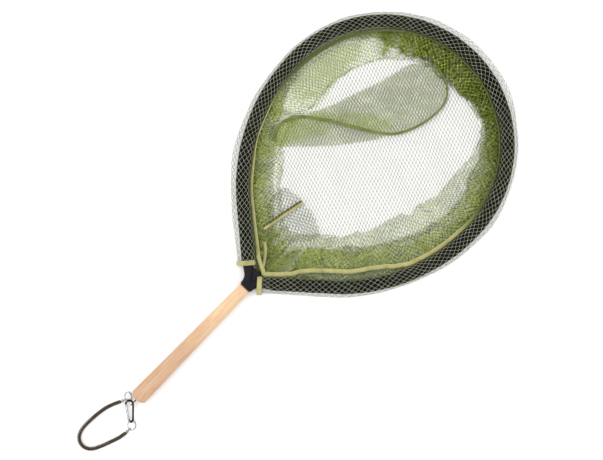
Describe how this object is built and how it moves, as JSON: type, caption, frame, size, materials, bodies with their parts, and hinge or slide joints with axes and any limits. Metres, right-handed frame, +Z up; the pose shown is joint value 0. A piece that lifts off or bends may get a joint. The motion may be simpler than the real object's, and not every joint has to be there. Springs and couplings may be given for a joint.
{
  "type": "wading net",
  "caption": "Teardrop wading net with a foam-covered hoop in a mesh sleeve, a collapsed mesh bag, a tapered wooden handle and a coiled lanyard clipped to an eye at the butt.",
  "frame": {"origin": "middle of the handle's flat underside, on the surface that the net lies on", "axes": "+X along the handle towards the hoop, +Y to the side that the lanyard bends from, +Z up out of the bag mouth"},
  "size_m": [0.8738, 0.42, 0.022],
  "materials": {
    "handle_wood": "satin oiled, pale, straight grain",
    "hoop_aluminium": "satin",
    "float_foam": "matte closed-cell foam",
    "boot_rubber": "smooth matte",
    "net_mesh": "knotless soft mesh",
    "binding_tape": "woven tape",
    "eye_brass": "dulled",
    "clip_black": "black satin",
    "bright_steel": "bright",
    "coil_plastic": "satin, slightly see-through"
  },
  "bodies": {
    "net": {"handle": "handle_wood", "hoop_tube": "hoop_aluminium", "foam_float": "float_foam", "throat_boot": "boot_rubber", "net_sleeve": "net_mesh", "bag_wall": "net_mesh", "bag_floor": "net_mesh", "bag_flap": "net_mesh", "hem_tape": "binding_tape", "flap_seam_tape": "binding_tape", "side_seam_tab": "binding_tape", "sleeve_binding_left": "binding_tape", "sleeve_binding_right": "binding_tape", "butt_eye": "eye_brass"},
    "carabiner": {"carabiner_body": "clip_black", "gate_pivot_pin": "bright_steel"},
    "gate": {"carabiner_gate": "bright_steel", "gate_plunger": "bright_steel", "gate_spring": "bright_steel"},
    "lanyard": {"split_ring_upper": "bright_steel", "split_ring_lower": "bright_steel", "lanyard_end_upper": "bright_steel", "lanyard_end_lower": "bright_steel", "lanyard_coil": "coil_plastic"}
  },
  "joints": [
    {"name": "carabiner_swing", "type": "hinge", "parent": "net", "child": "carabiner", "pos_m": [-0.1288, 0, 0.0102], "axis": [0, 1, 0], "range_deg": [-90, 50]},
    {"name": "gate_open", "type": "hinge", "parent": "carabiner", "child": "gate", "pos_m": [-0.15253, -0.01341, 0.00571], "axis": [0.2851, -0.1895, -0.9396], "range_deg": [0, 15], "stiffness_Nm_per_rad": 0.02, "springref_deg": -11.46},
    {"name": "lanyard_swing", "type": "hinge", "parent": "carabiner", "child": "lanyard", "pos_m": [-0.15178, -0.01829, 0.00692], "axis": [0.6381, 0.769, 0.0385], "range_deg": [0, 45]}
  ]
}
